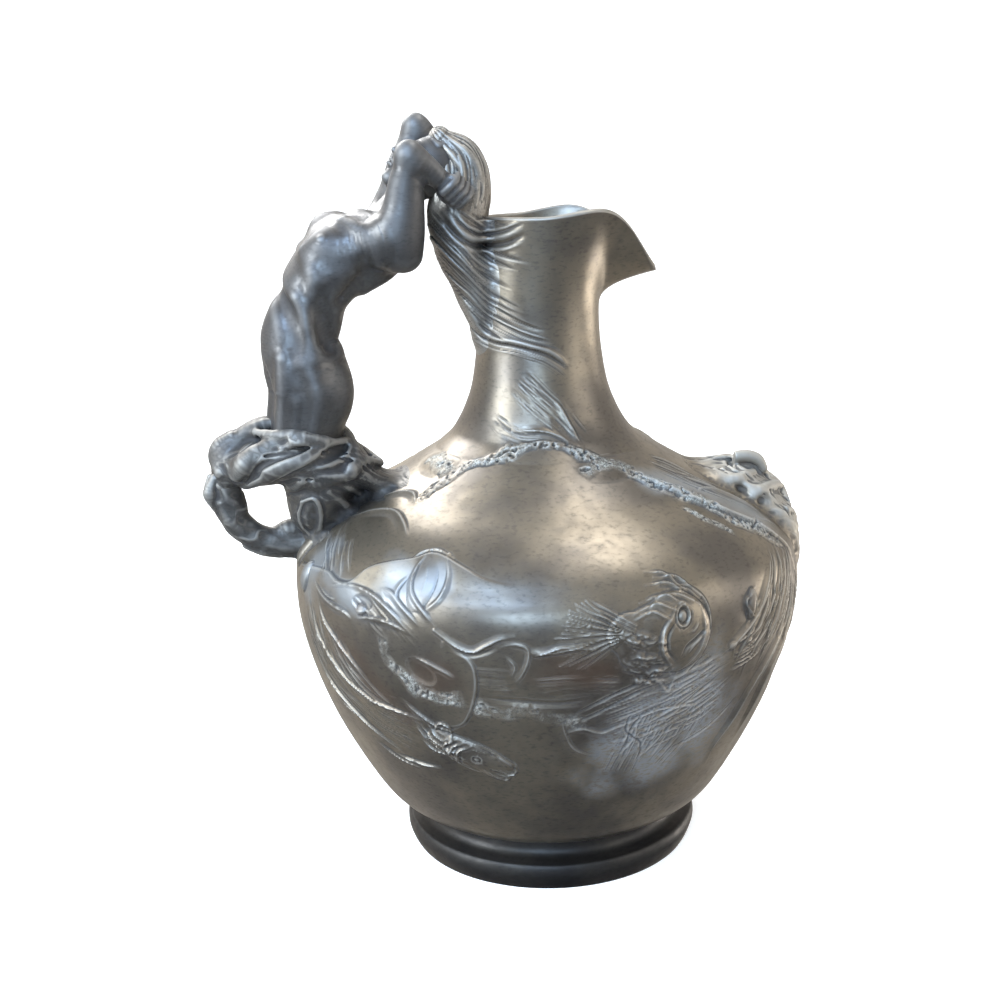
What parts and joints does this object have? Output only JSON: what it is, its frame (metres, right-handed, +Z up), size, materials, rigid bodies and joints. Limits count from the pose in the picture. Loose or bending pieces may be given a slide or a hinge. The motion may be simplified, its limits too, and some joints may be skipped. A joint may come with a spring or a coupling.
{
  "type": "figural ewer",
  "caption": "Bronze ewer with a broad relief-cast belly, a pouring spout and a handle formed by a reclining figure over a breaking wave.",
  "frame": {"origin": "under the middle of the whole ewer, on the surface that it stands on", "axes": "+Z up, +X towards the spout, -X towards the figure that makes the handle"},
  "size_m": [0.2878, 0.2534, 0.3643],
  "materials": {
    "body": "dark brown patinated bronze, satin",
    "neck": "dark brown patinated bronze, satin",
    "foot": "grey-brown patinated bronze, satin",
    "wave": "grey-brown patinated bronze, rubbed on the ridges",
    "figure": "dark patinated bronze, polished on the high points",
    "hair": "grey patinated bronze with fine strands",
    "bare_brass": "bare brass, dull"
  },
  "bodies": {
    "root": {"body_shell": "body", "foot_ring": "foot", "core_plug": "bare_brass", "neck_and_mouth": "neck", "wave_bracket": "wave", "wave_loop": "wave", "wave_crest": "wave", "torso": "figure", "head": "figure", "left_arm": "figure", "right_arm": "figure", "hair_fall": "hair", "foot_screw_1": "bare_brass", "foot_screw_2": "bare_brass", "foot_screw_3": "bare_brass", "foot_screw_4": "bare_brass", "neck_pin_1": "bare_brass", "neck_pin_2": "bare_brass", "neck_pin_3": "bare_brass", "neck_pin_4": "bare_brass", "bracket_screw_1": "bare_brass", "bracket_screw_2": "bare_brass", "crest_screw_1": "bare_brass", "crest_screw_2": "bare_brass", "hair_rivet_1": "bare_brass", "hair_rivet_2": "bare_brass", "loop_screw": "bare_brass", "loop_pin": "bare_brass", "handle_dowel": "bare_brass", "dowel_cross_pin": "bare_brass", "head_pin": "bare_brass", "left_shoulder_pin": "bare_brass", "right_shoulder_pin": "bare_brass", "left_hand_pin": "bare_brass", "right_hand_pin": "bare_brass"}
  },
  "joints": []
}
